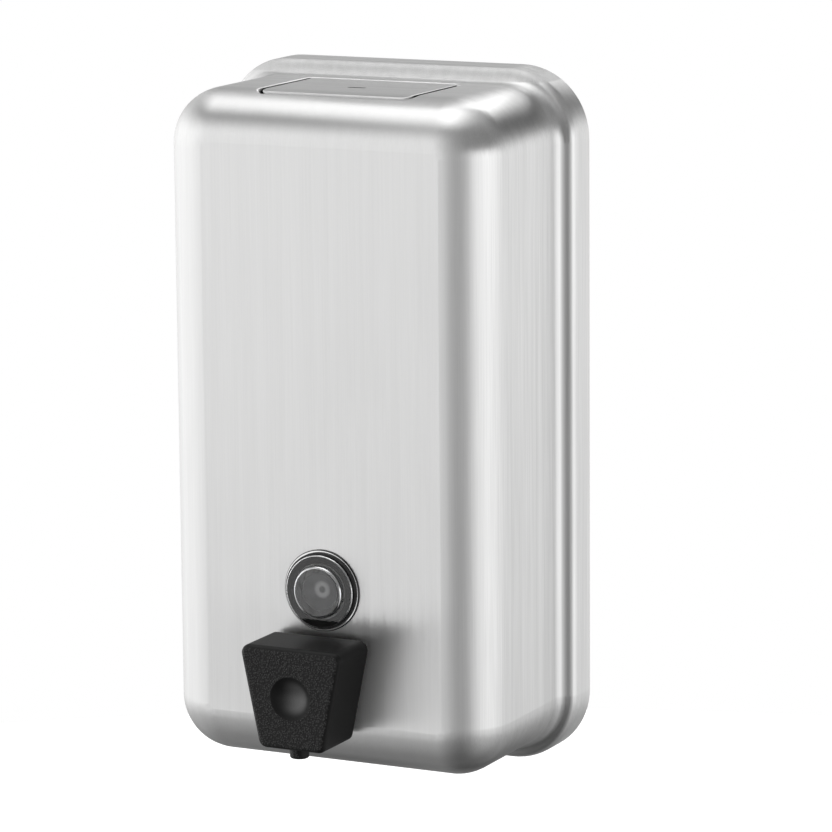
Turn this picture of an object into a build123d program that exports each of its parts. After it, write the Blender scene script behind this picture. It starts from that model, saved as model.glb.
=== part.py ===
from build123d import *
from math import acos, cos, pi, sin, sqrt, tan, radians
import os

# Wall mounted soap dispenser: a drawn steel tank with a hinged filler lid, a sight gauge and a push pump.
# Millimetres. The wall is the plane y = 0, the room lies towards -Y, +X is right seen from the room, +Z is up.
# The origin is the middle of the four wall screws. "Out" is a distance from the wall towards the room.

# Body shell, drawn from one sheet
sheet = 0.8
body_width = 104.9
body_height = 196.4
body_depth = 61.3
edge_radius = 14.6
corner_land = 1.8
flare_step = 4.5
flare_hollow_radius = 4.5
flare_crown_radius = 3.2
skirt_depth = 8.5

# Filler mouth and lid
lid_width = 47.4
lid_overrun = 3.8
lid_gap = 1.2
lid_front_gap = 0.7
lid_rear_gap = 0.9
lid_recess = 0.1
lid_corner = 2.0
lid_round = 0.45
lid_flange = 3.0
mouth_rear_land = 0.9
mouth_round = 1.0
lip_depth = 4.0
rear_lip_depth = 9.0
key_slot_length = 6.0
key_slot_width = 1.4
key_slot_setback = 14.5

# Lid hinge, hidden under the rear of the lid
hinge_length = 40.0
hinge_setback = 3.4
knuckle_count = 5
knuckle_radius = 1.2
knuckle_end_gap = 0.15
hinge_clearance = 0.3
pin_radius = 0.6
pin_clearance = 0.05
leaf_sheet = 0.6
lid_leaf_length = 4.5

# Lid latch
latch_sheet = 0.5
latch_width = 10.0
latch_gap = 0.3
latch_setback = 0.5
latch_land = 4.4
latch_drop = 5.0
latch_nose = 5.0
latch_nose_rise = 1.6
stud_spacing = 5.6
stud_radius = 1.1
stud_head_radius = 2.0
stud_head_height = 0.8
stud_clearance = 0.1

# Back plate and wall fixing
back_gap = 8.0
weld_gap = 0.1
pan_flange = 5.0
pan_bend = 1.6
bracket_sheet = 1.2
bracket_width = 64.0
bracket_lip_drop = 22.2
bracket_lip_length = 16.0
bracket_lip_offset = 3.6
bracket_tab_rise = 6.7
bend_round = 0.4
screw_spacing_x = 44.0
screw_spacing_z = 90.0
screw_hole_radius = 2.6
cleat_sheet = 1.0
cleat_width = 50.0
cleat_land = 9.0
cleat_tongue = 11.0
cleat_gap = 0.6
seat_gap = 0.1
lock_screw_radius = 2.0
lock_screw_length = 9.2
lock_thread_clearance = 0.03
lock_hole_clearance = 0.3
lock_socket_radius = 1.2
lock_socket_depth = 2.0
clinch_nut_radius = 3.2
clinch_nut_height = 3.0

# Sight gauge
sight_rise = 27.7
bezel_radius = 12.0
bezel_thickness = 0.6
bezel_round = 0.3
sight_gasket_radius = 11.3
sight_gasket_thickness = 0.6
lens_flange_radius = 10.7
lens_flange_thickness = 1.0
lens_flange_round = 0.35
lens_boss_radius = 7.7
lens_boss_height = 1.4
lens_boss_round = 0.8
lens_shank_radius = 8.0
lens_shank_length = 10.0
lens_bore_radius = 5.6
lens_window = 3.0
sight_hole_clearance = 0.2
thread_clearance = 0.05
sight_washer_radius = 12.4
sight_washer_thickness = 1.0
sight_nut_radius = 12.8
sight_nut_height = 4.0

# Pump valve, on a level axis through the front wall
valve_rise = 25.9
neck_radius = 7.5
neck_clearance = 0.3
neck_end = 0.8
rod_radius = 4.0
rod_clearance = 0.06
valve_washer_radius = 10.3
valve_washer_thickness = 0.6
valve_nut_radius = 10.4
valve_nut_height = 3.0
valve_gasket_radius = 9.6
valve_gasket_thickness = 1.0
cylinder_flange_radius = 14.0
cylinder_flange_thickness = 2.5
cylinder_front_wall = 4.0
cylinder_bore = 10.3
cylinder_wall = 2.0
cylinder_bore_length = 24.0
seal_thickness = 1.6
seal_clearance = 0.05
seal_groove_width = 1.8
seal_groove_out = 1.6

# Cylinder cap and inlet flap
cap_thickness = 2.0
cap_spigot_length = 3.0
cap_clearance = 0.05
inlet_count = 6
inlet_radius = 1.3
inlet_pitch_radius = 5.0
flap_radius = 7.0
flap_thickness = 0.7
flap_stem_radius = 1.4
flap_clearance = 0.1
flap_barb_radius = 1.9
flap_barb_length = 1.3

# Plunger, packing and return spring
push_stroke = 2.8
stop_gap = 0.3
piston_length = 7.5
piston_front = 2.5
piston_rear = 1.2
piston_rear_radius = 9.2
piston_core_radius = 7.0
piston_clearance = 0.3
packing_clearance = 0.08
packing_play = 0.05
packing_notch_depth = 2.2
packing_lip = 0.7
plunger_bore_radius = 1.6
tip_radius = 3.4
tip_length = 5.6
spring_radius = 8.6
spring_wire = 1.2
spring_turns = 5
spring_seat_gap = 0.1

# Push button
button_depth = 17.7
button_rise = 14.8
button_drop = 15.1
button_top_width = 33.2
button_bottom_width = 20.8
button_corner = 2.6
button_round = 1.5
button_wall = 1.8
rib_thickness = 1.2
rib_clearance = 0.15
dimple_rise = 0.2
dimple_radius = 6.4
dimple_depth = 2.0
dimple_wall = 1.2

# Spout and duckbill
socket_radius = 5.2
socket_clearance = 0.05
socket_gap = 0.7
socket_front_gap = 0.3
nozzle_setback = 5.4
nozzle_radius = 2.8
nozzle_drop = 18.2
nozzle_bore_radius = 1.5
nozzle_round = 0.6
nozzle_hole_clearance = 0.15
duckbill_radius = 2.1
duckbill_seat_length = 6.0
duckbill_clearance = 0.1
duckbill_flange = 1.0
duckbill_wall = 0.6
duckbill_blade_width = 3.0
duckbill_blade_thickness = 0.9
duckbill_slit = 0.2
duckbill_recess = 0.6

# Worked out from the sizes above
top = body_height / 2
corner_radius = edge_radius + corner_land
flare_angle = acos(1 - flare_step / (flare_hollow_radius + flare_crown_radius))
flare_out = skirt_depth + (flare_hollow_radius + flare_crown_radius) * sin(flare_angle)
rim_width = body_width + 2 * flare_step
rim_height = body_height + 2 * flare_step
rim_radius = corner_radius + flare_step
inner_front = body_depth - sheet

lid_front = body_depth - edge_radius + lid_overrun
mouth_front = lid_front + lid_front_gap
mouth_rear = flare_out + mouth_rear_land
mouth_width = lid_width + 2 * lid_gap
mouth_corner = lid_corner + lid_gap
lid_rear = mouth_rear + lid_rear_gap
lid_top = top - lid_recess
lid_underside = lid_top - sheet
hinge_out = lid_rear + hinge_setback
hinge_height = lid_underside - hinge_clearance - knuckle_radius
lid_swing = sqrt((hinge_setback - lid_round) ** 2 + (lid_top - hinge_height - lid_round) ** 2) + lid_round
pin_bore_radius = pin_radius + pin_clearance
lid_leaf_out = hinge_out + knuckle_radius + hinge_clearance
latch_start = lid_leaf_out + lid_leaf_length + latch_setback

back_out = back_gap + sheet
bracket_lip_height = top - bracket_lip_drop
bracket_tab_height = -rim_height / 2 + bracket_tab_rise
lock_out = (bracket_sheet + back_gap) / 2
lock_hole_radius = lock_screw_radius + lock_hole_clearance

valve_height = valve_rise - body_height / 2
sight_height = valve_height + sight_rise
sight_hole_radius = lens_shank_radius + sight_hole_clearance
bezel_out = body_depth + bezel_thickness
sight_gasket_out = bezel_out + sight_gasket_thickness
lens_flange_out = sight_gasket_out + lens_flange_thickness
lens_front = lens_flange_out + lens_boss_height
sight_washer_back = inner_front - sight_washer_thickness
sight_nut_back = sight_washer_back - sight_nut_height

valve_hole_radius = neck_radius + neck_clearance
valve_washer_out = body_depth + valve_washer_thickness
valve_nut_out = valve_washer_out + valve_nut_height
neck_out = valve_nut_out + neck_end
flange_front = inner_front - valve_gasket_thickness
flange_back = flange_front - cylinder_flange_thickness
bore_front = flange_front - cylinder_front_wall
bore_back = bore_front - cylinder_bore_length
cylinder_radius = cylinder_bore + cylinder_wall
seal_out = body_depth + seal_groove_out
cap_face = bore_back + cap_spigot_length
cap_back = bore_back - cap_thickness
piston_front_out = bore_front - stop_gap
piston_back_out = piston_front_out - piston_length
groove_front = piston_front_out - piston_front
groove_back = piston_back_out + piston_rear
packing_radius = cylinder_bore - packing_clearance

button_top = valve_height + button_rise
button_bottom = valve_height - button_drop
dimple_height = valve_height + dimple_rise
nozzle_bottom = valve_height - nozzle_drop
button_back = body_depth + push_stroke + stop_gap
button_front = button_back + button_depth
dimple_sphere = (dimple_radius**2 + dimple_depth**2) / (2 * dimple_depth)
dimple_centre_out = button_front - dimple_depth + dimple_sphere
socket_back = neck_out + push_stroke + socket_gap
socket_front = button_front - dimple_depth - dimple_wall - socket_front_gap
nozzle_out = button_front - nozzle_setback
tip_out = socket_back + tip_length
duckbill_top = nozzle_bottom + duckbill_seat_length

os.makedirs("parts", exist_ok=True)


def section_plane(x=0, height=0):
    """Upright plane square to the wall, whose own axes are the distance out from the wall and the height."""
    return Plane(origin=(x, 0, height), x_dir=(0, -1, 0), z_dir=(-1, 0, 0))


def turned(points, height):
    """Solid of revolution about a level axis at this height, from (out, radius) points of its half section."""
    with BuildPart() as solid:
        with BuildSketch(section_plane(height=height)):
            with BuildLine():
                Polyline(*points, close=True)
            make_face()
        revolve(axis=Axis((0, 0, height), (0, 1, 0)))
    return solid.part


def ring(back, front, inner_radius, outer_radius, height):
    """Flat ring on a level axis, between two distances out from the wall."""
    points = [(back, inner_radius), (back, outer_radius), (front, outer_radius), (front, inner_radius)]
    return turned(points, height)


def finish(name, piece):
    """Labels a finished piece and writes its file."""
    piece.label = name
    export_step(piece, f"parts/{name}.step")


def crest(depth=0):
    """Side view of the body under its top and rounded front edge, or under the same lowered by a depth."""
    with BuildSketch(section_plane()) as profile:
        with BuildLine():
            level = Line((0, top - depth), (body_depth - edge_radius, top - depth))
            bend = TangentArc(level @ 1, (body_depth - depth, top - edge_radius), tangent=level % 1)
            Polyline(bend @ 1, (body_depth - depth, 0), (0, 0), (0, top - depth))
        make_face()
    return profile.sketch_local


def rim(faces, height):
    """Edges above a height on those of the faces that stand upright."""
    upright = faces.filter_by(lambda face: abs(face.normal_at().Z) < 0.01)
    return upright.edges().filter_by(lambda edge: edge.bounding_box().min.Z > height)


# Filler mouth's turned-down edge, trimmed to the body's top and its rounded front edge
mouth_middle = (mouth_front + mouth_rear) / 2
mouth_length = mouth_front - mouth_rear
with BuildPart() as mouth_lip:
    with BuildSketch(Plane.XY.offset(top)):
        with Locations((0, -mouth_middle)):
            RectangleRounded(mouth_width + 2 * sheet, mouth_length + 2 * sheet, mouth_corner + sheet)
    extrude(amount=-lip_depth)
    with BuildSketch(section_plane()):
        add(crest())
    extrude(amount=body_width / 2, both=True, mode=Mode.INTERSECT)

# Body shell: the wall section runs round the body's outline, and a flat plate closes the front
hollow_end = (flare_hollow_radius * (1 - cos(flare_angle)), flare_out - flare_hollow_radius * sin(flare_angle))
side_plane = Plane(origin=(body_width / 2, 0, 0), x_dir=(1, 0, 0), z_dir=(0, 0, -1))

with BuildPart() as body_shell:
    with BuildSketch(Plane.XZ, mode=Mode.PRIVATE) as body_outline:
        RectangleRounded(body_width, body_height, corner_radius)
    with BuildSketch(side_plane):
        with BuildLine():
            front_edge = TangentArc((-edge_radius, body_depth), (0, body_depth - edge_radius), tangent=(1, 0))
            side = Line(front_edge @ 1, (0, flare_out))
            hollow = TangentArc(side @ 1, hollow_end, tangent=side % 1)
            crown = TangentArc(hollow @ 1, (flare_step, skirt_depth), tangent=hollow % 1)
            Line(crown @ 1, (flare_step, 0))
            offset(amount=sheet, side=Side.RIGHT)
        make_face()
    sweep(path=body_outline.sketch.wire())
    with BuildSketch(Plane.XZ.offset(body_depth)):
        RectangleRounded(body_width - 2 * edge_radius, body_height - 2 * edge_radius, corner_land)
    extrude(amount=-sheet)
    # Filler mouth with its edge turned down, deeper at the rear where the hinge leaf is welded
    add(mouth_lip.part)
    with BuildSketch(Plane.XY.offset(top - sheet)):
        with Locations((0, -mouth_rear)):
            Rectangle(hinge_length, sheet, align=(Align.CENTER, Align.MIN))
    extrude(amount=sheet - rear_lip_depth)
    with BuildSketch(Plane.XY.offset(top)):
        with Locations((0, -mouth_middle)):
            RectangleRounded(mouth_width, mouth_length, mouth_corner)
    extrude(amount=-rear_lip_depth, mode=Mode.SUBTRACT)
    fillet(rim(body_shell.faces(Select.LAST), top - lip_depth / 2), mouth_round)
    # Holes for the sight gauge, the valve neck and the locking screw
    with Locations(Plane.XZ.offset(body_depth)):
        with Locations((0, sight_height)):
            Hole(sight_hole_radius, depth=2 * sheet)
        with Locations((0, valve_height)):
            Hole(valve_hole_radius, depth=2 * sheet)
    with Locations((0, -lock_out, -rim_height / 2)):
        Cylinder(lock_hole_radius, 4 * sheet, mode=Mode.SUBTRACT)
finish("body_shell", body_shell.part)

# Back plate: a shallow pan, welded by its flange inside the skirt
pan_inset = sheet + weld_gap
with BuildPart() as back_plate:
    with BuildSketch(Plane.XZ.offset(back_out)):
        RectangleRounded(rim_width - 2 * pan_inset, rim_height - 2 * pan_inset, rim_radius - pan_inset)
    extrude(amount=-pan_flange)
    fillet(back_plate.faces().sort_by(Axis.Y)[0].edges(), pan_bend)
    offset(amount=-sheet, openings=back_plate.faces().sort_by(Axis.Y)[-1])
    with Locations((0, -lock_out, -rim_height / 2 + pan_inset)):
        Cylinder(lock_hole_radius, 4 * sheet, mode=Mode.SUBTRACT)
finish("back_plate", back_plate.part)

# Wall bracket: plate on the wall, its top joggled out to a lip and its bottom turned out to a tab
joggle_height = bracket_lip_height - bracket_lip_length
with BuildPart() as wall_bracket:
    with BuildSketch(section_plane()):
        with BuildLine():
            Polyline(
                (back_gap - cleat_gap, bracket_tab_height),
                (0, bracket_tab_height),
                (0, joggle_height),
                (bracket_lip_offset, joggle_height),
                (bracket_lip_offset, bracket_lip_height),
            )
            offset(amount=bracket_sheet, side=Side.RIGHT, kind=Kind.INTERSECTION)
        make_face()
    extrude(amount=bracket_width / 2, both=True)
    fillet(wall_bracket.edges().filter_by(Axis.X), bend_round)
    with Locations(Plane.XZ.offset(bracket_sheet)):
        with GridLocations(screw_spacing_x, screw_spacing_z, 2, 2):
            Hole(screw_hole_radius, depth=2 * bracket_sheet)
    with Locations((0, -lock_out, bracket_tab_height)):
        Cylinder(lock_hole_radius, 4 * bracket_sheet, mode=Mode.SUBTRACT)
finish("wall_bracket", wall_bracket.part)

# Hanger cleat: joggled strip welded to the back plate, whose tongue drops behind the bracket's lip
web_height = bracket_lip_height + seat_gap
tongue_out = bracket_lip_offset - cleat_gap
with BuildPart() as hanger_cleat:
    with BuildSketch(section_plane()):
        with BuildLine():
            Polyline(
                (back_gap, web_height + cleat_land),
                (back_gap, web_height),
                (tongue_out, web_height),
                (tongue_out, web_height - cleat_tongue),
            )
            offset(amount=cleat_sheet, side=Side.RIGHT, kind=Kind.INTERSECTION)
        make_face()
    extrude(amount=cleat_width / 2, both=True)
    fillet(hanger_cleat.edges().filter_by(Axis.X), bend_round)
finish("hanger_cleat", hanger_cleat.part)

# Clinch nut on the bracket's tab, and the set screw that locks the body from below
nut_base = bracket_tab_height + bracket_sheet
with BuildPart() as clinch_nut:
    with BuildSketch(Plane.XY.offset(nut_base)):
        with Locations((0, -lock_out)):
            Circle(clinch_nut_radius)
            Circle(lock_screw_radius + lock_thread_clearance, mode=Mode.SUBTRACT)
    extrude(amount=clinch_nut_height)
    chamfer(clinch_nut.faces().sort_by(Axis.Z)[-1].outer_wire().edges(), bend_round)
finish("clinch_nut", clinch_nut.part)

with BuildPart() as locking_screw:
    with BuildSketch(Plane.XY.offset(-rim_height / 2)):
        with Locations((0, -lock_out)):
            Circle(lock_screw_radius)
    extrude(amount=lock_screw_length)
    chamfer(locking_screw.faces().sort_by(Axis.Z)[-1].edges(), bend_round)
    with BuildSketch(Plane.XY.offset(-rim_height / 2)):
        with Locations((0, -lock_out)):
            RegularPolygon(lock_socket_radius, 6)
    extrude(amount=lock_socket_depth, mode=Mode.SUBTRACT)
finish("locking_screw", locking_screw.part)

# Filler lid: sheet that follows the body's rounded front edge, its front and sides turned down, with the key slot
lid_middle = (lid_front + lid_rear) / 2
lid_length = lid_front - lid_rear
with BuildPart() as filler_lid:
    with BuildSketch(Plane.XY.offset(lid_top)):
        with Locations((0, -lid_middle)):
            RectangleRounded(lid_width, lid_length, lid_corner)
    extrude(amount=-lid_flange)
    with BuildSketch(section_plane()):
        add(crest(lid_recess))
    extrude(amount=lid_width, both=True, mode=Mode.INTERSECT)
    fillet(rim(filler_lid.faces(), lid_top - lid_flange / 2), lid_round)
    offset(amount=-sheet, openings=filler_lid.faces().sort_by(Axis.Z)[0])
    with BuildSketch(Plane.XY.offset(lid_underside)):
        with Locations((0, -lid_rear)):
            Rectangle(lid_width, lid_corner + 2 * sheet, align=(Align.CENTER, Align.MAX))
    extrude(amount=-lid_flange, mode=Mode.SUBTRACT)
    with BuildSketch(Plane.XY.offset(lid_top)):
        with Locations((0, key_slot_setback - lid_front)):
            SlotOverall(key_slot_length, key_slot_width)
    extrude(amount=-2 * sheet, mode=Mode.SUBTRACT)
finish("filler_lid", filler_lid.part)

# Lid hinge: knuckles take turns along the pin, the outer ones on the body's leaf, which passes below the lid's swing
knuckle_pitch = hinge_length / knuckle_count
knuckle_middles = [(i - (knuckle_count - 1) / 2) * knuckle_pitch for i in range(knuckle_count)]
knuckle_length = knuckle_pitch - 2 * knuckle_end_gap
leaf_top = hinge_height - lid_swing - hinge_clearance
leaf_bottom = top - rear_lip_depth

with BuildPart() as hinge_body_leaf:
    with BuildSketch(section_plane()):
        with Locations((mouth_rear, leaf_bottom)):
            Rectangle(leaf_sheet, leaf_top - leaf_bottom, align=(Align.MIN, Align.MIN))
        with Locations((mouth_rear, leaf_top)):
            Rectangle(hinge_out + leaf_sheet / 2 - mouth_rear, leaf_sheet, align=(Align.MIN, Align.MAX))
    extrude(amount=hinge_length / 2, both=True)
    for middle in knuckle_middles[0::2]:
        with BuildSketch(section_plane(middle)):
            with Locations((hinge_out, hinge_height)):
                Circle(knuckle_radius)
                Rectangle(leaf_sheet, hinge_height - leaf_top + leaf_sheet, align=(Align.CENTER, Align.MAX))
        extrude(amount=knuckle_length / 2, both=True)
    with BuildSketch(section_plane()):
        with Locations((hinge_out, hinge_height)):
            Circle(pin_bore_radius)
    extrude(amount=hinge_length, both=True, mode=Mode.SUBTRACT)
finish("hinge_body_leaf", hinge_body_leaf.part)

with BuildPart() as hinge_lid_leaf:
    with BuildSketch(section_plane()):
        with Locations((lid_leaf_out, lid_underside)):
            Rectangle(lid_leaf_length, leaf_sheet, align=(Align.MIN, Align.MAX))
    extrude(amount=hinge_length / 2, both=True)
    for middle in knuckle_middles[1::2]:
        with BuildSketch(section_plane(middle)):
            with Locations((hinge_out, hinge_height)):
                Circle(knuckle_radius)
            with Locations((hinge_out, lid_underside)):
                Rectangle(lid_leaf_out + leaf_sheet - hinge_out, leaf_sheet, align=(Align.MIN, Align.MAX))
        extrude(amount=knuckle_length / 2, both=True)
    with BuildSketch(section_plane()):
        with Locations((hinge_out, hinge_height)):
            Circle(pin_bore_radius)
    extrude(amount=hinge_length, both=True, mode=Mode.SUBTRACT)
finish("hinge_lid_leaf", hinge_lid_leaf.part)

with BuildPart() as hinge_pin:
    with BuildSketch(section_plane()):
        with Locations((hinge_out, hinge_height)):
            Circle(pin_radius)
    extrude(amount=hinge_length / 2, both=True)
finish("hinge_pin", hinge_pin.part)

# Lid latch: leaf spring on two studs under the lid, bent down past the key slot, nose under the mouth's front lip
nose_out = mouth_front + sheet
nose_height = top - lip_depth - latch_gap
stud_out = latch_start + latch_land / 2
with BuildPart() as latch_spring:
    with BuildSketch(section_plane()):
        with BuildLine():
            Polyline(
                (latch_start, lid_underside),
                (latch_start + latch_land, lid_underside),
                (nose_out - latch_nose, nose_height - latch_nose_rise),
                (nose_out, nose_height),
            )
            offset(amount=latch_sheet, side=Side.RIGHT, kind=Kind.INTERSECTION)
        make_face()
    extrude(amount=latch_width / 2, both=True)
    with Locations((0, -stud_out, lid_underside)):
        with GridLocations(stud_spacing, 0, 2, 1):
            Cylinder(stud_radius + stud_clearance, 4 * latch_sheet, mode=Mode.SUBTRACT)
finish("latch_spring", latch_spring.part)

with BuildPart() as latch_studs:
    with BuildSketch(Plane.XY.offset(lid_underside)):
        with Locations((0, -stud_out)):
            with GridLocations(stud_spacing, 0, 2, 1):
                Circle(stud_radius)
    extrude(amount=-latch_sheet)
    with BuildSketch(Plane.XY.offset(lid_underside - latch_sheet)):
        with Locations((0, -stud_out)):
            with GridLocations(stud_spacing, 0, 2, 1):
                Circle(stud_head_radius)
    extrude(amount=-stud_head_height)
finish("latch_studs", latch_studs.part)

# Sight gauge: bezel, gasket and stepped lens outside, washer and nut on the lens's shank inside
with BuildPart() as sight_bezel:
    add(ring(body_depth, bezel_out, sight_hole_radius, bezel_radius, sight_height))
    fillet(sight_bezel.faces().sort_by(Axis.Y)[0].outer_wire().edges(), bezel_round)
finish("sight_bezel", sight_bezel.part)

with BuildPart() as sight_gasket:
    add(ring(bezel_out, sight_gasket_out, sight_hole_radius, sight_gasket_radius, sight_height))
finish("sight_gasket", sight_gasket.part)

shank_back = sight_gasket_out - lens_shank_length
window_back = lens_front - lens_window
with BuildPart() as sight_lens:
    lens_section = [
        (shank_back, lens_bore_radius),
        (shank_back, lens_shank_radius),
        (sight_gasket_out, lens_shank_radius),
        (sight_gasket_out, lens_flange_radius),
        (lens_flange_out, lens_flange_radius),
        (lens_flange_out, lens_boss_radius),
        (lens_front, lens_boss_radius),
        (lens_front, 0),
        (window_back, 0),
        (window_back, lens_bore_radius),
    ]
    add(turned(lens_section, sight_height))
    fillet(sight_lens.faces().sort_by(Axis.Y)[0].edges(), lens_boss_round)
    flange_face = sight_lens.faces().filter_by(Axis.Y).sort_by(Axis.Y)[1]
    fillet(flange_face.outer_wire().edges(), lens_flange_round)
finish("sight_lens", sight_lens.part)

with BuildPart() as sight_washer:
    add(ring(sight_washer_back, inner_front, sight_hole_radius, sight_washer_radius, sight_height))
finish("sight_washer", sight_washer.part)

with BuildPart() as sight_nut:
    with BuildSketch(Plane.XZ.offset(sight_nut_back)):
        with Locations((0, sight_height)):
            RegularPolygon(sight_nut_radius, 6)
            Circle(lens_shank_radius + thread_clearance, mode=Mode.SUBTRACT)
    extrude(amount=sight_nut_height)
finish("sight_nut", sight_nut.part)

# Valve cylinder: flange inside the front wall, threaded neck through it, with a groove for the rod seal
neck_bore = rod_radius + rod_clearance
groove_radius = neck_bore + seal_thickness + seal_clearance
with BuildPart() as valve_cylinder:
    cylinder_section = [
        (bore_back, cylinder_bore),
        (bore_back, cylinder_radius),
        (flange_back, cylinder_radius),
        (flange_back, cylinder_flange_radius),
        (flange_front, cylinder_flange_radius),
        (flange_front, neck_radius),
        (neck_out, neck_radius),
        (neck_out, neck_bore),
        (seal_out + seal_groove_width / 2, neck_bore),
        (seal_out + seal_groove_width / 2, groove_radius),
        (seal_out - seal_groove_width / 2, groove_radius),
        (seal_out - seal_groove_width / 2, neck_bore),
        (bore_front, neck_bore),
        (bore_front, cylinder_bore),
    ]
    add(turned(cylinder_section, valve_height))
finish("valve_cylinder", valve_cylinder.part)

with BuildPart() as valve_gasket:
    add(ring(flange_front, inner_front, valve_hole_radius, valve_gasket_radius, valve_height))
finish("valve_gasket", valve_gasket.part)

with BuildPart() as valve_washer:
    add(ring(body_depth, valve_washer_out, valve_hole_radius, valve_washer_radius, valve_height))
finish("valve_washer", valve_washer.part)

with BuildPart() as valve_nut:
    with BuildSketch(Plane.XZ.offset(valve_washer_out)):
        with Locations((0, valve_height)):
            RegularPolygon(valve_nut_radius, 6)
            Circle(neck_radius + thread_clearance, mode=Mode.SUBTRACT)
    extrude(amount=valve_nut_height)
finish("valve_nut", valve_nut.part)

with BuildPart() as rod_seal:
    with BuildSketch(section_plane(height=valve_height)):
        with Locations((seal_out, neck_bore + seal_thickness / 2)):
            Circle(seal_thickness / 2)
    revolve(axis=Axis((0, 0, valve_height), (0, 1, 0)))
finish("rod_seal", rod_seal.part)

# Cylinder cap with its inlet holes, and the rubber flap that covers them from inside
spigot_radius = cylinder_bore - cap_clearance
with BuildPart() as cylinder_cap:
    cap_section = [
        (cap_back, 0),
        (cap_back, cylinder_radius),
        (bore_back, cylinder_radius),
        (bore_back, spigot_radius),
        (cap_face, spigot_radius),
        (cap_face, 0),
    ]
    add(turned(cap_section, valve_height))
    with Locations(Plane.XZ.offset(cap_face)):
        with Locations((0, valve_height)):
            Hole(flap_stem_radius + flap_clearance)
            with PolarLocations(inlet_pitch_radius, inlet_count):
                Hole(inlet_radius)
finish("cylinder_cap", cylinder_cap.part)

barb_front = cap_back - flap_clearance
with BuildPart() as inlet_flap:
    flap_section = [
        (barb_front - flap_barb_length, 0),
        (barb_front - flap_barb_length, flap_stem_radius / 2),
        (barb_front, flap_barb_radius),
        (barb_front, flap_stem_radius),
        (cap_face, flap_stem_radius),
        (cap_face, flap_radius),
        (cap_face + flap_thickness, flap_radius - flap_thickness),
        (cap_face + flap_thickness, 0),
    ]
    add(turned(flap_section, valve_height))
finish("inlet_flap", inlet_flap.part)

# Plunger: hollow rod with the piston head, its tip in the spout's socket
with BuildPart() as plunger:
    plunger_section = [
        (piston_back_out, plunger_bore_radius),
        (piston_back_out, piston_rear_radius),
        (groove_back, piston_rear_radius),
        (groove_back, piston_core_radius),
        (groove_front, piston_core_radius),
        (groove_front, cylinder_bore - piston_clearance),
        (piston_front_out, cylinder_bore - piston_clearance),
        (piston_front_out, rod_radius),
        (socket_back, rod_radius),
        (socket_back, tip_radius),
        (tip_out, tip_radius),
        (tip_out, plunger_bore_radius),
    ]
    add(turned(plunger_section, valve_height))
finish("plunger", plunger.part)

# Packing: U section on the piston, its lips open towards the pressure
packing_inner = piston_core_radius + packing_play
packing_back = groove_back + packing_play
packing_front = groove_front - packing_play
packing_middle = (packing_inner + packing_radius) / 2
with BuildPart() as u_packing:
    packing_section = [
        (packing_front, packing_inner),
        (packing_front, packing_radius),
        (packing_back, packing_radius),
        (packing_back, packing_radius - packing_lip),
        (packing_back + packing_notch_depth, packing_middle),
        (packing_back, packing_inner + packing_lip),
        (packing_back, packing_inner),
    ]
    add(turned(packing_section, valve_height))
finish("u_packing", u_packing.part)

# Return spring: one wire from the cap's face to the piston, each quarter turn a pair of tangent arcs
spring_back = cap_face + spring_wire / 2 + spring_seat_gap
spring_front = piston_back_out - spring_wire / 2 - spring_seat_gap
spring_pitch = (spring_front - spring_back) / spring_turns


def wire_point(turn):
    """Point of the spring's centre line, this many turns from the cap."""
    angle = 2 * pi * turn
    out = spring_back + spring_pitch * turn
    return Vector(spring_radius * cos(angle), -out, valve_height + spring_radius * sin(angle))


def wire_direction(turn):
    """Direction of the spring's centre line there."""
    angle = 2 * pi * turn
    around = 2 * pi * spring_radius
    return Vector(-around * sin(angle), -spring_pitch, around * cos(angle)).normalized()


with BuildPart() as return_spring:
    with BuildLine() as spring_line:
        for quarter in range(4 * spring_turns):
            start, end = wire_point(quarter / 4), wire_point((quarter + 1) / 4)
            leave, arrive = wire_direction(quarter / 4), wire_direction((quarter + 1) / 4)
            span, both, spread = end - start, leave + arrive, 2 * (1 - leave.dot(arrive))
            reach = (sqrt(span.dot(both) ** 2 + spread * span.dot(span)) - span.dot(both)) / spread
            joint = (start + leave * reach + end - arrive * reach) * 0.5
            first = TangentArc(start, joint, tangent=leave)
            TangentArc(joint, end, tangent=first % 1)
    with BuildSketch(Plane(origin=wire_point(0), x_dir=(1, 0, 0), z_dir=wire_direction(0))):
        Circle(spring_wire / 2)
    sweep(path=spring_line.wire())
finish("return_spring", return_spring.part)

steps_per_turn = 24
wire_points = [wire_point(i / steps_per_turn) for i in range(spring_turns * steps_per_turn + 1)]
turn_gap = min(
    (a - b).length
    for i, a in enumerate(wire_points)
    for b in wire_points[i + steps_per_turn // 2 :]
)
print("return_spring least gap between turns", round(turn_gap - spring_wire, 2))

# Push button: hollow trapezoid, open at the rear, with a thumb dimple and two ribs that hold the spout's socket
with BuildSketch(Plane.XZ.offset(button_front)) as button_outline:
    with BuildLine():
        Polyline(
            (-button_top_width / 2, button_top),
            (button_top_width / 2, button_top),
            (button_bottom_width / 2, button_bottom),
            (-button_bottom_width / 2, button_bottom),
            close=True,
        )
    make_face()
    fillet(button_outline.vertices(), button_corner)

rib_middle = socket_radius + rib_clearance + rib_thickness / 2
rib_back = socket_back + rib_thickness
with BuildPart() as button_cavity:
    with BuildSketch(Plane.XZ.offset(button_front - button_wall)):
        add(button_outline.sketch_local)
        offset(amount=-button_wall, mode=Mode.REPLACE)
    extrude(amount=button_wall - button_depth)
    with Locations((0, -dimple_centre_out, dimple_height)):
        Sphere(dimple_sphere + dimple_wall, mode=Mode.SUBTRACT)
    with BuildSketch(Plane.XZ.offset(button_front)):
        with Locations((-rib_middle, dimple_height), (rib_middle, dimple_height)):
            Rectangle(rib_thickness, 2 * button_top_width)
    extrude(amount=rib_back - button_front, mode=Mode.SUBTRACT)

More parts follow.
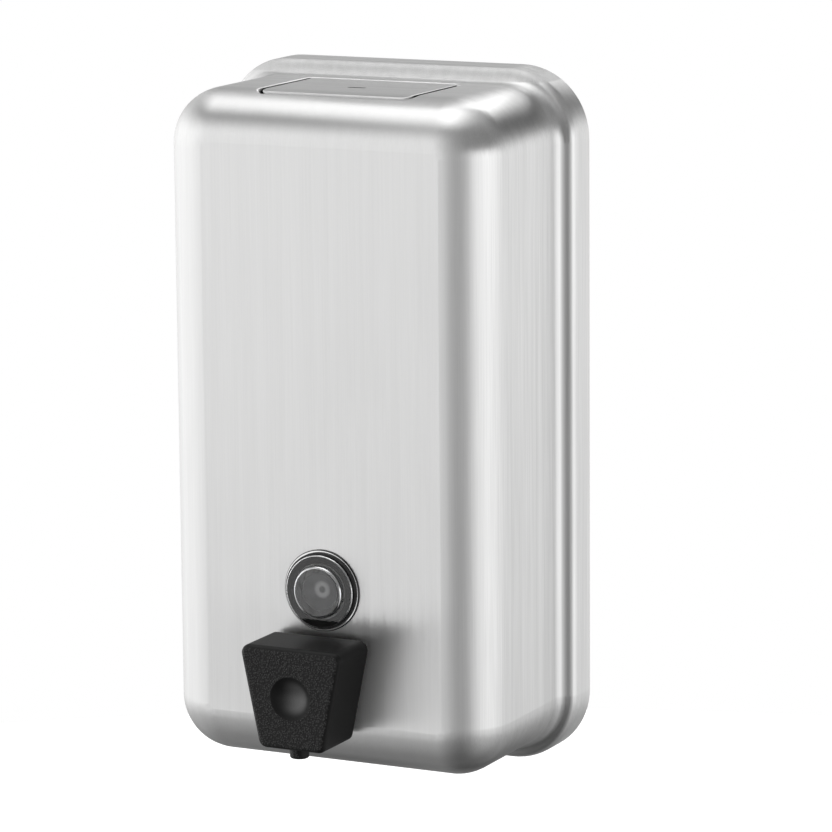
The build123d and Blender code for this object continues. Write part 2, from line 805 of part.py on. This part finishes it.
with BuildPart() as push_button:
    with BuildSketch(Plane.XZ.offset(button_front)):
        add(button_outline.sketch_local)
    extrude(amount=-button_depth)
    fillet(push_button.faces().sort_by(Axis.Y)[0].edges(), button_round)
    add(button_cavity.part, mode=Mode.SUBTRACT)
    with Locations((0, -dimple_centre_out, dimple_height)):
        Sphere(dimple_sphere, mode=Mode.SUBTRACT)
    with Locations((0, -nozzle_out, button_bottom)):
        Cylinder(nozzle_radius + nozzle_hole_clearance, 4 * button_wall, mode=Mode.SUBTRACT)
finish("push_button", push_button.part)

# Spout: socket on the plunger's tip, with the nozzle turned down through the button's floor
socket_bottom = valve_height - socket_radius
with BuildPart() as spout:
    add(ring(socket_back, socket_front, 0, socket_radius, valve_height))
    with BuildSketch(Plane.XY.offset(valve_height)):
        with Locations((0, -socket_front)):
            Rectangle(2 * nozzle_radius, socket_front - socket_back, align=(Align.CENTER, Align.MIN))
    extrude(amount=-socket_radius)
    with BuildSketch(Plane.XY.offset(nozzle_bottom)):
        with Locations((0, -nozzle_out)):
            Circle(nozzle_radius)
    extrude(amount=socket_bottom - nozzle_bottom)
    fillet(spout.faces().sort_by(Axis.Z)[0].edges(), nozzle_round)
    add(ring(socket_back, tip_out + socket_gap, 0, tip_radius + socket_clearance, valve_height), mode=Mode.SUBTRACT)
    add(ring(socket_back, nozzle_out, 0, plunger_bore_radius, valve_height), mode=Mode.SUBTRACT)
    with BuildSketch(Plane.XY.offset(nozzle_bottom)):
        with Locations((0, -nozzle_out)):
            Circle(nozzle_bore_radius)
    extrude(amount=valve_height - nozzle_bottom, mode=Mode.SUBTRACT)
    with BuildSketch(Plane.XY.offset(nozzle_bottom)):
        with Locations((0, -nozzle_out)):
            Circle(duckbill_radius + duckbill_clearance)
    extrude(amount=duckbill_seat_length, mode=Mode.SUBTRACT)
finish("spout", spout.part)

# Duckbill: rubber outlet valve in the nozzle, round at its flange and flattened to a slit at its tip
blade_bottom = nozzle_bottom + duckbill_recess
bill_top = duckbill_top - duckbill_flange
bill_radius = duckbill_radius - duckbill_wall / 2
with BuildPart() as duckbill:
    with BuildSketch(Plane.XY.offset(duckbill_top)):
        with Locations((0, -nozzle_out)):
            Circle(duckbill_radius)
    extrude(amount=-duckbill_flange)
    with BuildSketch(Plane.XY.offset(bill_top)):
        with Locations((0, -nozzle_out)):
            Circle(bill_radius)
    with BuildSketch(Plane.XY.offset(blade_bottom)):
        with Locations((0, -nozzle_out)):
            Rectangle(duckbill_blade_width, duckbill_blade_thickness)
    loft()
    with BuildSketch(Plane.XY.offset(duckbill_top)):
        with Locations((0, -nozzle_out)):
            Circle(bill_radius - duckbill_wall)
    with BuildSketch(Plane.XY.offset(blade_bottom)):
        with Locations((0, -nozzle_out)):
            Rectangle(duckbill_blade_width - 2 * duckbill_wall, duckbill_slit)
    loft(mode=Mode.SUBTRACT)
finish("duckbill", duckbill.part)
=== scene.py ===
from math import pi, radians
import bpy
from mathutils import Matrix, Vector


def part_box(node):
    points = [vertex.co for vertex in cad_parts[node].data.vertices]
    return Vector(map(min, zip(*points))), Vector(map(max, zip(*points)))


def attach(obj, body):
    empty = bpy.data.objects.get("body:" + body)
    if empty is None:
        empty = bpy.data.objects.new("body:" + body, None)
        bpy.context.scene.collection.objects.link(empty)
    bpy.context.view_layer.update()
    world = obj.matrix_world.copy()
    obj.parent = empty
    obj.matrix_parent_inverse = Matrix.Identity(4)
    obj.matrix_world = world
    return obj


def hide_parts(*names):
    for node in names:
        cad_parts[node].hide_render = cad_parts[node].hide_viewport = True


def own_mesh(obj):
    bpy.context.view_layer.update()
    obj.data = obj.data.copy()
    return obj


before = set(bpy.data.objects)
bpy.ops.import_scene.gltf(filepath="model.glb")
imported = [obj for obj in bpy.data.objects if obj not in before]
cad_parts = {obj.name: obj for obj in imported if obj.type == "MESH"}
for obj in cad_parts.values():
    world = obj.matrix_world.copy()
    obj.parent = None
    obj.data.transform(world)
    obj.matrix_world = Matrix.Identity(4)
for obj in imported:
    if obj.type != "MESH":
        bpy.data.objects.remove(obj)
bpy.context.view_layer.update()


# Wall bracket, hanger cleat and back plate: cut and folded from cold rolled stainless sheet, left as it
# comes from the mill. The bracket is screwed to the wall. The cleat is spot welded to the plate along its
# top edge, and hooks over the bracket's lip.
class Signal:
    """A node's output in a material. Arithmetic on it adds Math nodes to the same tree."""

    def __init__(self, tree, output=None):
        self.tree = tree
        self.output = output

    def node(self, kind, settings=None, sockets=None):
        """Adds a node with its settings, then fills its sockets with values or with other signals."""
        made = self.tree.nodes.new(kind)
        for name, value in (settings or {}).items():
            setattr(made, name, value)
        for name, value in (sockets or {}).items():
            if isinstance(value, Signal):
                self.tree.links.new(value.output, made.inputs[name])
            else:
                made.inputs[name].default_value = value
        shown = [output for output in made.outputs if output.enabled]
        return Signal(self.tree, shown[0] if shown else None)

    def __getitem__(self, name):
        return Signal(self.tree, self.output.node.outputs[name])

    def math(self, operation, first, second=0.0):
        return self.node("ShaderNodeMath", {"operation": operation}, {0: first, 1: second})

    def __add__(self, other):
        return self.math("ADD", self, other)

    __radd__ = __add__

    def __sub__(self, other):
        return self.math("SUBTRACT", self, other)

    def __rsub__(self, other):
        return self.math("SUBTRACT", other, self)

    def __mul__(self, other):
        return self.math("MULTIPLY", self, other)

    __rmul__ = __mul__

    def ramp(self, low, high):
        """Rises smoothly from 0 to 1 as the signal goes from low to high, which may be the smaller one."""
        settings = {"interpolation_type": "SMOOTHSTEP"}
        return self.node("ShaderNodeMapRange", settings, {"Value": self, "From Min": low, "From Max": high})

    def between(self, low, rise, fall, high):
        """Is 1 from rise to fall, and goes smoothly down to 0 at low and at high."""
        return self.ramp(low, rise) * self.ramp(high, fall)

    def noise(self, place, stretch, detail=2.0):
        """Noise at a place in metres, with this many grains to the metre along X, Y and Z."""
        spot = self.node("ShaderNodeMapping", {}, {"Vector": place, "Scale": stretch})
        return self.node("ShaderNodeTexNoise", {}, {"Vector": spot, "Scale": 1.0, "Detail": detail})

    def shade(self, dark, light, amount):
        """Colour between two, by an amount from 0 to 1."""
        settings = {"data_type": "RGBA", "clamp_factor": True}
        return self.node("ShaderNodeMix", settings, {0: amount, 6: (*dark, 1), 7: (*light, 1)})[2]


def new_finish(name):
    """Starts an empty material, and gives its tree and the place on the piece."""
    finish = bpy.data.materials.new(name)
    finish.use_nodes = True
    finish.node_tree.nodes.clear()
    start = Signal(finish.node_tree)
    return finish, start, start.node("ShaderNodeTexCoord")["Object"]


def end_finish(start, surface):
    """Makes this shader the surface of the material."""
    start.node("ShaderNodeOutputMaterial", {}, {"Surface": surface})


def dress(finish, *nodes):
    """Puts a finish on CAD nodes."""
    for name in nodes:
        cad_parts[name].material_slots[0].material = finish


weld_spacing = 0.012
weld_radius = 0.0021
weld_inset = 0.0045
weld_tint = 0.5
weld_dent = 12.0
rolling_depth = 0.0001


def mill_finish(name, grain, dark, light, weld_height=None):
    """Sheet as it leaves the rolls: grain per metre along X, Y and Z, with clouds from the pickling bath.

    Where a height is given for it, a row of spot welds crosses the sheet, each in a ring of heat tint."""
    finish, start, place = new_finish(name)
    rolling = start.noise(place, grain, 3)
    cloud = start.noise(place, (55, 55, 35), 3)
    mottle = start.noise(place, (1600, 1600, 1600))
    tone = (rolling * 0.35 + cloud * 0.45 + mottle * 0.2).ramp(0.25, 0.75)
    relief = rolling
    if weld_height is not None:
        spot = start.node("ShaderNodeSeparateXYZ", {}, {"Vector": place})
        across = start.math("FLOORED_MODULO", spot["X"], weld_spacing) - weld_spacing / 2
        up = spot["Z"] - weld_height
        from_weld = start.math("SQRT", across * across + up * up)
        ring = from_weld.between(0.3 * weld_radius, weld_radius, weld_radius, 1.8 * weld_radius)
        tone = tone - weld_tint * ring
        relief = relief - weld_dent * from_weld.ramp(weld_radius, 0.75 * weld_radius)
    surface = start.node("ShaderNodeBsdfPrincipled", {}, {
        "Base Color": start.shade(dark, light, tone),
        "Metallic": 1.0,
        "Roughness": 0.26 + 0.2 * cloud + 0.05 * rolling,
        "Normal": start.node("ShaderNodeBump", {}, {
            "Height": relief, "Strength": 0.08, "Distance": rolling_depth,
        }),
    })
    end_finish(start, surface)
    return finish


upright_rolling = (900, 900, 60)
level_rolling = (60, 900, 900)
pale_sheet = (0.66, 0.66, 0.655)
plate_dark = (0.47, 0.475, 0.48)
bracket_dark = (0.33, 0.335, 0.345)
bracket_pale = (0.49, 0.49, 0.49)
cleat_dark = (0.3, 0.3, 0.32)
cleat_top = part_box("hanger_cleat")[1][2]
weld_row = cleat_top - weld_inset
mill_steel = mill_finish("mill_steel", upright_rolling, plate_dark, pale_sheet)
cross_steel = mill_finish("cross_steel", level_rolling, bracket_dark, bracket_pale)
welded_steel = mill_finish("welded_steel", upright_rolling, cleat_dark, pale_sheet, weld_row)
dress(mill_steel, "back_plate")
dress(cross_steel, "wall_bracket")
dress(welded_steel, "hanger_cleat")

# Locking screw and clinch nut: turned steel with a bright zinc coat. The nut is pressed into the bracket's
# tab, and the screw goes up through the skirt into it, so that the body can't be lifted off.
dull_zinc = (0.46, 0.48, 0.5)
bright_zinc = (0.68, 0.69, 0.68)
zinc_steel, start, place = new_finish("zinc_steel")
frost = start.noise(place, (2500, 2500, 2500), 3)
bloom = start.noise(place, (300, 300, 300), 2)
surface = start.node("ShaderNodeBsdfPrincipled", {}, {
    "Base Color": start.shade(dull_zinc, bright_zinc, bloom.ramp(0.3, 0.7)),
    "Metallic": 1.0,
    "Roughness": 0.24 + 0.18 * frost,
})
end_finish(start, surface)
dress(zinc_steel, "locking_screw", "clinch_nut")

# Body shell and filler lid: stainless sheet, the shell deep drawn to a box whose rear edge flares out to the
# skirt. A belt brushes the walls from top to bottom and the top from left to right. It leaves the hollow of
# the flare coarser. The crease of the flare and the gap round the lid are darkened in the colour as painted
# shade.
lid_low, lid_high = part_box("filler_lid")
lid_side = lid_high[0]
lid_front = lid_low[1]
lid_rear = lid_high[1]
lid_top = lid_high[2]
lid_run = (lid_front - 0.0003, lid_front + 0.0001, lid_rear - 0.0001, lid_rear + 0.0003)
mouth_side = 0.0249
gap_sides = (lid_side - 0.0003, lid_side, mouth_side + 0.00028, mouth_side + 0.00044)
gap_run = (lid_front + 0.0016, lid_front + 0.0043, lid_rear - 0.0007, lid_rear + 0.0001)
gap_heights = (lid_top - 0.0046, lid_top - 0.0041, lid_top - 0.0002, lid_top - 0.00008)
flare_front = -0.017
skirt_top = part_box("body_shell")[1][2]
hollow_heights = (lid_top + 0.0003, lid_top + 0.001, skirt_top - 0.0005, skirt_top)
hair_depth = 0.00005
steel_black = (0, 0, 0)
bare_steel = (0.66, 0.66, 0.658)
# Painted shade: how far the gap round the lid is darkened.
gap_painted_shade = 0.84
lid_shade = 0.04
crease_shade = 0.34
streak_tilt = 0.06
brushed_steel, start, place = new_finish("brushed_steel")
facing = start.node("ShaderNodeSeparateXYZ", {}, {"Vector": start.node("ShaderNodeTexCoord")["Normal"]})
level = (facing["Z"] * facing["Z"]).ramp(0.72, 0.96)
upright_hair = start.noise(place, (4200, 4200, 30), 3)
level_hair = start.noise(place, (30, 4200, 4200), 3)
hair = upright_hair + level * (level_hair - upright_hair)
upright_band = start.noise(place, (420, 420, 7), 2)
level_band = start.noise(place, (14, 420, 420), 2)
band = upright_band + level * (level_band - upright_band)
smudge = start.noise(place, (26, 26, 18), 2)
spot = start.node("ShaderNodeSeparateXYZ", {}, {"Vector": place})
aside = start.math("ABSOLUTE", spot["X"])
# Painted shade: the gap round the lid, darkened in the colour.
gap = aside.between(*gap_sides) * spot["Y"].between(*gap_run) * spot["Z"].between(*gap_heights)
lid = aside.ramp(lid_side, lid_side - 0.0002) * spot["Y"].between(*lid_run)
lid = lid * spot["Z"].ramp(lid_top - 0.0031, lid_top - 0.0021)
hollow = spot["Z"].between(*hollow_heights) * spot["Y"].ramp(flare_front, flare_front + 0.001)
# Painted shade: the crease at the root of the flare, darkened in the colour.
crease = (facing["Y"] * -1.0).ramp(0.56, 0.76) * facing["Z"].ramp(0.35, 0.1)
crease = crease * spot["Y"].ramp(flare_front - 0.0005, flare_front + 0.0005)
grain_depth = 0.06 + 0.16 * facing["X"] * facing["X"] + 0.13 * hollow + 0.16 * level
grain = grain_depth * (hair * 0.6 + band * 0.4).ramp(0.75, 0.25)
# The tone takes the grain, plus the painted shade in the lid's gap and the flare's crease.
tone = 1.0 - grain - gap_painted_shade * gap - lid_shade * lid - crease_shade * crease
colour = start.shade(steel_black, bare_steel, tone)
streak = start.noise(place, (1900, 1900, 45), 2)
tilt = start.node("ShaderNodeCombineXYZ", {}, {"Z": (streak - 0.5) * (1.0 - level) * streak_tilt})
outward = start.node("ShaderNodeNewGeometry")["Normal"]
tilted = start.node("ShaderNodeVectorMath", {"operation": "ADD"}, {0: outward, 1: tilt})["Vector"]
tilted = start.node("ShaderNodeVectorMath", {"operation": "NORMALIZE"}, {0: tilted})["Vector"]
scratch = start.node("ShaderNodeBump", {}, {
    "Height": hair, "Strength": 0.1, "Distance": hair_depth, "Normal": tilted,
})
clear_grain = start.node("ShaderNodeBsdfPrincipled", {}, {
    "Base Color": colour,
    "Metallic": 1.0,
    "Roughness": 0.26 + 0.05 * hair + 0.04 * smudge,
    "Anisotropic": 0.8,
    "Normal": scratch,
})
deep_grain = start.node("ShaderNodeBsdfPrincipled", {}, {
    "Base Color": colour,
    "Metallic": 1.0,
    "Roughness": 0.45 + 0.06 * hair,
    "Anisotropic": 1.0,
    "Normal": scratch,
})
walls = start.node("ShaderNodeMixShader", {}, {0: 0.3, 1: clear_grain, 2: deep_grain})
flats = start.node("ShaderNodeBsdfPrincipled", {}, {
    "Base Color": colour,
    "Metallic": 1.0,
    "Roughness": 0.34 + 0.06 * hair + 0.04 * smudge + 0.26 * hollow,
    "Normal": scratch,
})
surface = start.node("ShaderNodeMixShader", {}, {0: level + hollow * (1.0 - level), 1: walls, 2: flats})
end_finish(start, surface)
dress(brushed_steel, "body_shell", "filler_lid")

# Lid hinge and latch: a small piano hinge of plain strip on a zinc coated pin along the rear of the lid, and
# a hardened leaf spring held under the lid by two studs. The spring's nose catches the mouth's front lip
# until the key pushes it down.
dress(mill_steel, "hinge_body_leaf", "hinge_lid_leaf")
dress(zinc_steel, "hinge_pin", "latch_studs")
dark_temper = (0.38, 0.385, 0.395)
pale_temper = (0.48, 0.48, 0.48)
spring_steel, start, place = new_finish("spring_steel")
draw = start.noise(place, (2600, 220, 2600), 2)
surface = start.node("ShaderNodeBsdfPrincipled", {}, {
    "Base Color": start.shade(dark_temper, pale_temper, draw.ramp(0.3, 0.7)),
    "Metallic": 1.0,
    "Roughness": 0.27 + 0.08 * draw,
})
end_finish(start, surface)
dress(spring_steel, "latch_spring")

# Return spring: hard drawn wire wound into an open coil, held between the cylinder's cap and the piston. It
# is wound at one length from the cap's end, goes with the housing and takes the place of the CAD spring.
spring_low, spring_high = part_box("return_spring")
wire_radius = 0.0006
wire_sides = 16
coil_radius = (spring_high[0] - spring_low[0]) / 2 - wire_radius
coil_length = spring_high[1] - spring_low[1]
coil_height = (spring_low[2] + spring_high[2]) / 2
coil_turns = 5
steps_per_turn = 48
upended = (pi / 2, 0, 0)
bpy.ops.object.select_all(action="DESELECT")
bpy.ops.mesh.primitive_circle_add(
    vertices=wire_sides, radius=wire_radius, location=(coil_radius, 0, 0), rotation=upended,
)
coil = bpy.context.object
coil.name = "return_spring_coil"
bpy.ops.object.transform_apply()
winding = coil.modifiers.new("winding", "SCREW")
winding.axis = "Z"
winding.iterations = coil_turns
winding.screw_offset = (coil_length - 2 * wire_radius) / coil_turns
winding.steps = winding.render_steps = steps_per_turn
bpy.ops.object.modifier_apply(modifier="winding")
bpy.ops.object.mode_set(mode="EDIT")
bpy.ops.mesh.select_all(action="SELECT")
bpy.ops.mesh.fill_holes(sides=0)
bpy.ops.mesh.select_all(action="SELECT")
bpy.ops.mesh.normals_make_consistent(inside=False)
bpy.ops.object.mode_set(mode="OBJECT")
bpy.ops.object.shade_smooth_by_angle(angle=radians(50))
coil.rotation_euler = upended
coil.location = (0, spring_high[1] - wire_radius, coil_height)
bpy.ops.object.transform_apply()
coil.data.materials.append(spring_steel)
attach(coil, "housing")
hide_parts("return_spring")
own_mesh(coil)

# Sight gauge bezel: a thin ring pressed from stainless and polished, clamped against the front by the lens.
# Its outer edge is darkened in the colour, as painted shade round the ring.
gauge_low, gauge_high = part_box("sight_lens")
gauge_height = (gauge_low[2] + gauge_high[2]) / 2
bezel_radius = 0.012
# Painted shade: the band at the ring's outer edge that is darkened.
edge_shade_radii = (bezel_radius - 0.0004, bezel_radius - 0.00015)
mirror_steel = (0.86, 0.86, 0.86)


def from_axis(start, place, height):
    """Distance from a level axis that runs out of the wall at this height."""
    spot = start.node("ShaderNodeMapping", {}, {
        "Vector": place, "Location": (0, 0, -height), "Scale": (1, 0, 1),
    })
    return start.node("ShaderNodeVectorMath", {"operation": "LENGTH"}, {0: spot})["Value"]


polished_steel, start, place = new_finish("polished_steel")
haze = start.noise(place, (900, 900, 900), 3)
# Painted shade at the ring's outer edge; elsewhere polish with a faint haze.
mould_skin_and_edge_shade = from_axis(start, place, gauge_height).ramp(*edge_shade_radii)
polish_and_edge_shade = (0.6 + 0.4 * haze) * (1.0 - 0.93 * mould_skin_and_edge_shade)
surface = start.node("ShaderNodeBsdfPrincipled", {}, {
    "Base Color": start.shade(steel_black, mirror_steel, polish_and_edge_shade),
    "Metallic": 1.0,
    "Roughness": 0.1 + 0.06 * haze + 0.3 * mould_skin_and_edge_shade,
})
end_finish(start, surface)
dress(polished_steel, "sight_bezel")

# Rubber parts: the gauge's gasket and washer, the pump's gasket, flap, seals and duckbill, moulded from black
# nitrile with the matt skin of the mould.
deep_rubber = (0.006, 0.006, 0.0065)
dusty_rubber = (0.016, 0.016, 0.016)
mould_skin_depth = 0.00005
black_rubber, start, place = new_finish("black_rubber")
mould_skin_and_edge_shade = start.noise(place, (2600, 2600, 2600), 3)
surface = start.node("ShaderNodeBsdfPrincipled", {}, {
    "Base Color": start.shade(deep_rubber, dusty_rubber, mould_skin_and_edge_shade.ramp(0.3, 0.7)),
    "Roughness": 0.5 + 0.2 * mould_skin_and_edge_shade,
    "Normal": start.node("ShaderNodeBump", {}, {
        "Height": mould_skin_and_edge_shade, "Strength": 0.15, "Distance": mould_skin_depth,
    }),
})
end_finish(start, surface)
dress(black_rubber, "sight_gasket", "sight_washer", "valve_gasket", "inlet_flap")
dress(black_rubber, "rod_seal", "u_packing", "duckbill")

# Sight lens: one clear moulding, a flange with a raised window in its middle and a threaded shank, through
# which the soap's level shows. Soap has clouded the back of the window, and a paler ring is painted on it a
# little off the centre. The rounded edges are made part metal, a painted glint that mirrors the room.
window_depth = 0.0027
bore_radius = 0.0056
boss_radius = 0.0077
boss_height = 0.0014
flange_radius = 0.0107
flange_depth = 0.0016
edge_fade = 0.0002
# Where the paler ring on the clouded back is painted: its offset from the window's centre and its radii.
ring_shift = (-0.0009, 0, -0.0007)
pale_ring_radii = (0.0006, 0.0014, 0.0017, 0.003)
lens_tint = (0.9, 0.905, 0.91)
lens_clear = (0.97, 0.975, 0.98)
soap_dark = (0.05, 0.051, 0.052)
soap_pale = (0.44, 0.442, 0.444)
clear_plastic, start, place = new_finish("clear_plastic")
radius = from_axis(start, place, gauge_height)
depth = start.node("ShaderNodeSeparateXYZ", {}, {"Vector": place})["Y"] - gauge_low[1]
film = depth.ramp(window_depth - edge_fade, window_depth) * radius.ramp(bore_radius, bore_radius - edge_fade)
from_ring_centre = start.node("ShaderNodeVectorMath", {"operation": "ADD"}, {0: place, 1: ring_shift})["Vector"]
mark = from_axis(start, from_ring_centre, gauge_height).between(*pale_ring_radii)
# Painted glint: the rounded edges of the boss and the flange are made part metal.
boss_edge_glint = radius.ramp(boss_radius - 4 * edge_fade, boss_radius - 2 * edge_fade)
boss_edge_glint = boss_edge_glint * depth.ramp(boss_height, boss_height - edge_fade)
flange_edge_glint = radius.ramp(flange_radius - 2 * edge_fade, flange_radius - edge_fade)
flange_edge_glint = flange_edge_glint * depth.ramp(flange_depth + 1.5 * edge_fade, flange_depth)
cloud = start.noise(place, (350, 350, 350), 2)
moulding = start.node("ShaderNodeBsdfPrincipled", {}, {
    "Base Color": start.shade(lens_tint, lens_clear, cloud),
    # Part metal at the rounded edges, as painted glint.
    "Metallic": 0.55 * boss_edge_glint + 0.6 * flange_edge_glint,
    "Roughness": 0.02 + 0.05 * cloud,
    "IOR": 1.55,
    "Transmission Weight": 1.0,
})
clouding = start.node("ShaderNodeBsdfPrincipled", {}, {
    "Base Color": start.shade(soap_dark, soap_pale, mark * 0.7 + cloud * 0.25),
    "Roughness": 0.6,
})
end_finish(start, start.node("ShaderNodeMixShader", {}, {0: film, 1: moulding, 2: clouding}))
dress(clear_plastic, "sight_lens")

# Pump parts in the tank: cylinder, cap, plunger and the lens's nut, moulded from white acetal and turned to
# size. The cylinder's neck goes out through the front wall, and the cap is pressed into its rear end.
cream_acetal = (0.7, 0.69, 0.66)
milk_acetal = (0.82, 0.81, 0.785)
turning_depth = 0.00005
white_acetal, start, place = new_finish("white_acetal")
turning = start.noise(place, (60, 2400, 60), 2)
cloud = start.noise(place, (200, 200, 200), 2)
surface = start.node("ShaderNodeBsdfPrincipled", {}, {
    "Base Color": start.shade(cream_acetal, milk_acetal, cloud.ramp(0.3, 0.7)),
    "Roughness": 0.34 + 0.12 * turning,
    "Normal": start.node("ShaderNodeBump", {}, {
        "Height": turning, "Strength": 0.1, "Distance": turning_depth,
    }),
})
end_finish(start, surface)
dress(white_acetal, "valve_cylinder", "cylinder_cap", "plunger", "sight_nut")

# Push button, spout, nut and washer: moulded from black plastic. The mould's front is etched to a fine
# leather grain, its sides are matt, and the thumb dimple is smooth and polished by use.
dimple_height = -0.0721
dimple_radius = 0.0064
dimple_edge = (dimple_radius + 0.0001, dimple_radius - 0.0004)
pebbles_per_metre = 1750.0
leather_depth = 0.00018
plastic_pit = (0.002, 0.002, 0.002)
plastic_pebble = (0.036, 0.036, 0.0355)
black_plastic, start, place = new_finish("black_plastic")
facing = start.node("ShaderNodeSeparateXYZ", {}, {"Vector": start.node("ShaderNodeTexCoord")["Normal"]})
front = (facing["Y"] * -1.0).ramp(0.86, 0.97)
dimple = from_axis(start, place, dimple_height).ramp(*dimple_edge)
polished = dimple * front
etched = front * (1.0 - dimple)
cells = start.node("ShaderNodeTexVoronoi", {"feature": "F1"}, {"Vector": place, "Scale": pebbles_per_metre})
grit = start.noise(place, (5200, 5200, 5200), 2)
leather = etched * cells["Distance"].ramp(0.62, 0.16) + 0.1 * grit
surface = start.node("ShaderNodeBsdfPrincipled", {}, {
    "Base Color": start.shade(plastic_pit, plastic_pebble, leather),
    "Roughness": 0.5 - 0.12 * etched - 0.26 * polished + 0.08 * grit,
    "Specular IOR Level": 0.2,
    "Coat Weight": 0.8 * polished + 0.06 * facing["Z"].ramp(0.4, 0.9),
    "Coat Roughness": 0.14,
    "Normal": start.node("ShaderNodeBump", {}, {
        "Height": leather, "Strength": 1.0, "Distance": leather_depth,
    }),
})
end_finish(start, surface)
dress(black_plastic, "push_button", "spout", "valve_nut", "valve_washer")

# Floor: one pale round board well below the object, which takes its soft shadow. It shows white to the camera
# and through the lens, and is clear from below.
floor_drop = 0.35
floor_radius = 1.0
floor_edges = 128
floor_glow = 0.75
board_grey = (0.55, 0.55, 0.55, 1)
plain_white = (1, 1, 1, 1)
bpy.ops.object.select_all(action="DESELECT")
bpy.ops.mesh.primitive_circle_add(
    vertices=floor_edges, radius=floor_radius, fill_type="NGON", location=(0, 0, -floor_drop),
)
floor = bpy.context.object
floor.name = "floor"
bpy.ops.object.transform_apply()
pale_board, start, place = new_finish("pale_board")
light_path = start.node("ShaderNodeLightPath")
seen = light_path["Is Camera Ray"] + light_path["Is Transmission Ray"]
paper = start.node("ShaderNodeBsdfDiffuse", {}, {"Color": board_grey})
glow = start.node("ShaderNodeEmission", {}, {"Color": plain_white, "Strength": seen * floor_glow})
board = start.node("ShaderNodeAddShader", {}, {0: paper, 1: glow})
under = start.node("ShaderNodeNewGeometry")["Backfacing"]
clear = start.node("ShaderNodeBsdfTransparent")
end_finish(start, start.node("ShaderNodeMixShader", {}, {0: under, 1: board, 2: clear}))
floor.data.materials.append(pale_board)
floor.visible_glossy = False

# Studio: a tent of white cloth with a wide soft box on the left, one on the right, one overhead and a narrow
# one behind, beside which a corner stays dim. Their edges are in degrees round the object and above it. The
# camera sees plain white behind the object, and so does light through the lens.
left_strength = 1.58
right_strength = 1.7
back_strength = 1.75
top_strength = 2.1
world = bpy.data.worlds.new("tent")
world.use_nodes = True
world.node_tree.nodes.clear()
bpy.context.scene.world = world
start = Signal(world.node_tree)
toward = start.node("ShaderNodeSeparateXYZ", {}, {"Vector": start.node("ShaderNodeTexCoord")["Generated"]})
round_front = start.math("DEGREES", start.math("ARCTAN2", toward["X"], toward["Y"] * -1.0))
round_back = start.math("DEGREES", start.math("ARCTAN2", toward["X"], toward["Y"]))
upward = start.math("DEGREES", start.math("ARCSINE", toward["Z"]))
left_box = round_front.ramp(14, -46) - 0.9 * round_front.ramp(-98, -152)
left_box = left_box * upward.ramp(46, 8)
right_box = round_front.ramp(34, 64) - 0.46 * round_front.ramp(95, 130) - 0.45 * round_front.ramp(158, 180)
right_box = right_box * upward.ramp(18, 1)
back_box = round_back.between(-22, -10, 6, 12) * upward.between(12, 20, 52, 66)
top_box = 0.94 * upward.ramp(44, 70) * (1.0 - 0.8 * toward["X"].ramp(0.0, 0.4))
top_box = top_box * (1.0 - 0.6 * toward["X"].ramp(-0.5, -0.75)) * (1.0 - 0.65 * toward["Y"].ramp(0.1, 0.36))
upper_glow = 0.2 * upward.ramp(2, 28) * toward["Y"].ramp(0.7, 0.1)
upper_glow = upper_glow * (1.0 - 0.9 * toward["X"].ramp(0.05, 0.4))
dim_corner = round_back.between(6, 13, 29, 36) * upward.between(3, 10, 34, 44)
cloth = (0.36 - 0.07 * toward["Y"].ramp(0.5, -0.3) + upper_glow) * (1.0 - 0.9 * dim_corner)
boxes = left_strength * left_box + right_strength * right_box
boxes = boxes + back_strength * back_box + top_strength * top_box
lower_fade = 0.08 + 0.36 * upward.ramp(-82, -18) + 0.56 * upward.ramp(-34, -5)
tent = (cloth + boxes) * lower_fade
light_path = start.node("ShaderNodeLightPath")
seen = light_path["Is Camera Ray"] + light_path["Is Transmission Ray"]
bright = tent + seen * (1.0 - tent)
start.node("ShaderNodeOutputWorld", {}, {
    "Surface": start.node("ShaderNodeBackground", {}, {"Color": plain_white, "Strength": bright}),
})

# Lamp: one large soft box above the object, a little to the left and in front, for the soft shadows. The
# steel mirrors the tent's own boxes and not this one.
lamp_data = bpy.data.lights.new("soft_box", "AREA")
lamp_data.shape = "SQUARE"
lamp_data.size = 0.9
lamp_data.energy = 3.0
lamp = bpy.data.objects.new("soft_box", lamp_data)
lamp.location = (-0.15, -0.2, 1.5)
lamp.rotation_euler = (-lamp.location).to_track_quat("-Z", "Y").to_euler()
lamp.visible_camera = False
lamp.visible_glossy = False
bpy.context.scene.collection.objects.link(lamp)

# Camera: to the right of the object and a little above it, with a long lens, as the photograph was taken. It
# swings round the aim point, rises above its level and rolls a little about its own line of sight.
swing = radians(26.30)
rise = radians(10.62)
roll = radians(-0.48)
distance = 1.3384
aim = Vector((0.00024, 0.0, -0.00402))
turn = Matrix.Rotation(swing, 4, "Z") @ Matrix.Rotation(pi / 2 - rise, 4, "X")
turn = turn @ Matrix.Rotation(roll, 4, "Z")
camera_data = bpy.data.cameras.new("camera")
camera_data.sensor_width = 36.0
camera_data.lens = 194.08
camera = bpy.data.objects.new("camera", camera_data)
camera.matrix_world = Matrix.Translation(aim + turn.to_3x3() @ Vector((0, 0, distance))) @ turn
bpy.context.scene.collection.objects.link(camera)
bpy.context.scene.camera = camera
bpy.context.scene.view_settings.view_transform = "Standard"
